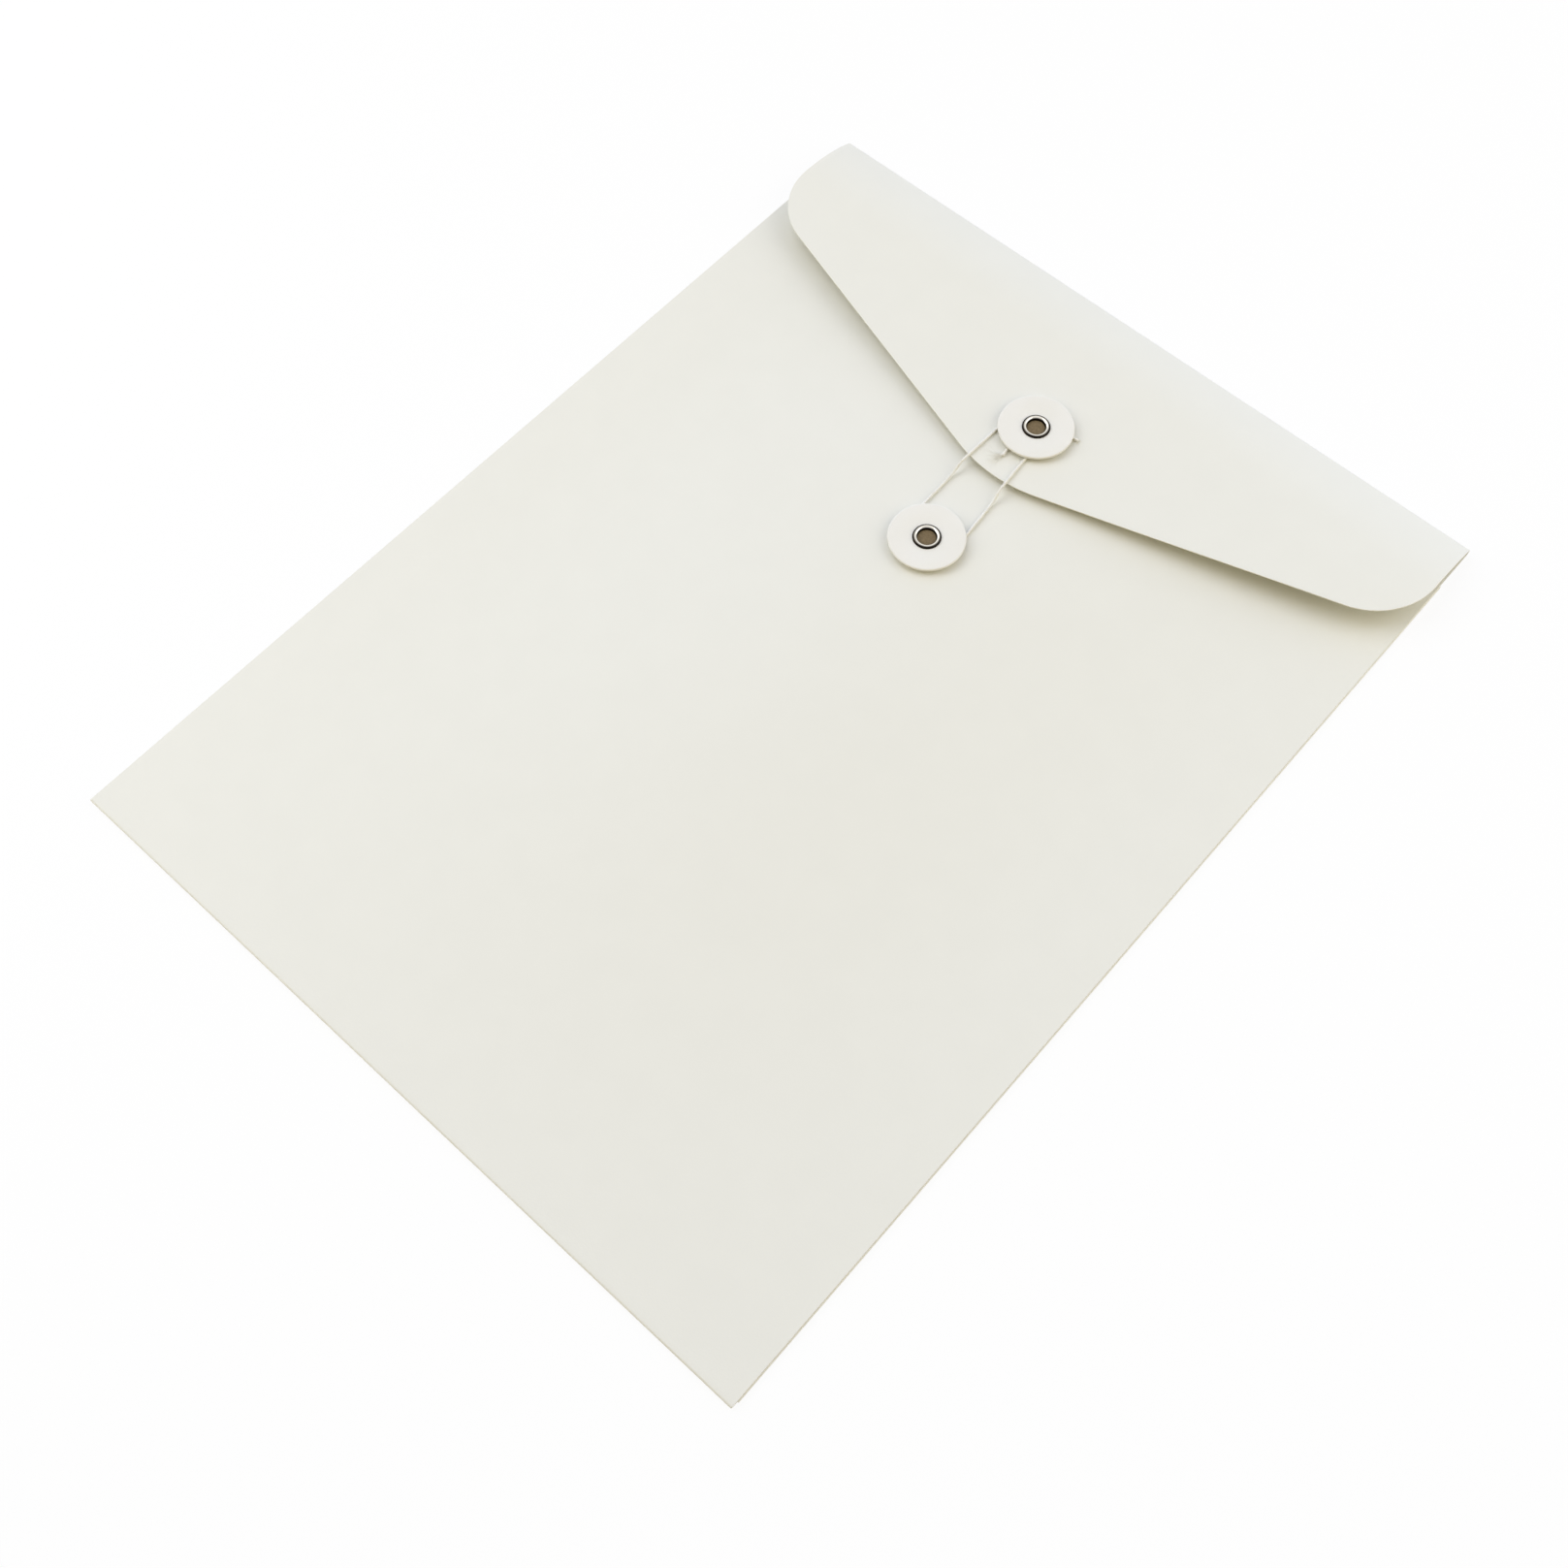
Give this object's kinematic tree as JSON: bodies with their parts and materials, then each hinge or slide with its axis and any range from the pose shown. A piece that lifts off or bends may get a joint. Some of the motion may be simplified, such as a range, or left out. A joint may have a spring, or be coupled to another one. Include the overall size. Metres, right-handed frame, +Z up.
{
  "type": "string tie envelope",
  "caption": "Flat card envelope with a pointed closing flap, held shut by a string looped between a round card button on the flap and one on the pocket, each fixed by a metal eyelet.",
  "frame": {"origin": "middle of the back face, on the table", "axes": "+X across the envelope, +Y along it towards the flap fold, +Z up out of the pocket side"},
  "size_m": [0.229, 0.305, 0.0096],
  "materials": {
    "cream_card": "matte",
    "button_board": "matte",
    "nickel_eyelet": "polished",
    "cotton_string": "matte",
    "dried_glue": "satin"
  },
  "bodies": {
    "pocket": {"back_panel": "cream_card", "front_panel": "cream_card", "left_seam_flap": "cream_card", "right_seam_flap": "cream_card", "left_glue_line": "dried_glue", "right_glue_line": "dried_glue", "flap_fold": "cream_card", "lower_eyelet": "nickel_eyelet"},
    "flap": {"closure_flap": "cream_card", "upper_eyelet": "nickel_eyelet", "tie_string": "cotton_string"},
    "upper_disc": {"upper_button": "button_board"},
    "lower_disc": {"lower_button": "button_board"}
  },
  "joints": [
    {"name": "flap_hinge", "type": "hinge", "parent": "pocket", "child": "flap", "pos_m": [0, 0.1509, 0.0016], "axis": [-1, 0, 0], "range_deg": [0, 158], "deforming": ["flap_fold", "tie_string"]},
    {"name": "upper_button_spin", "type": "hinge", "parent": "flap", "child": "upper_disc", "pos_m": [0, 0.101, 0.00865], "axis": [0, 0, 1], "continuous": true},
    {"name": "lower_button_spin", "type": "hinge", "parent": "pocket", "child": "lower_disc", "pos_m": [0, 0.0526, 0.0073], "axis": [0, 0, 1], "continuous": true}
  ]
}
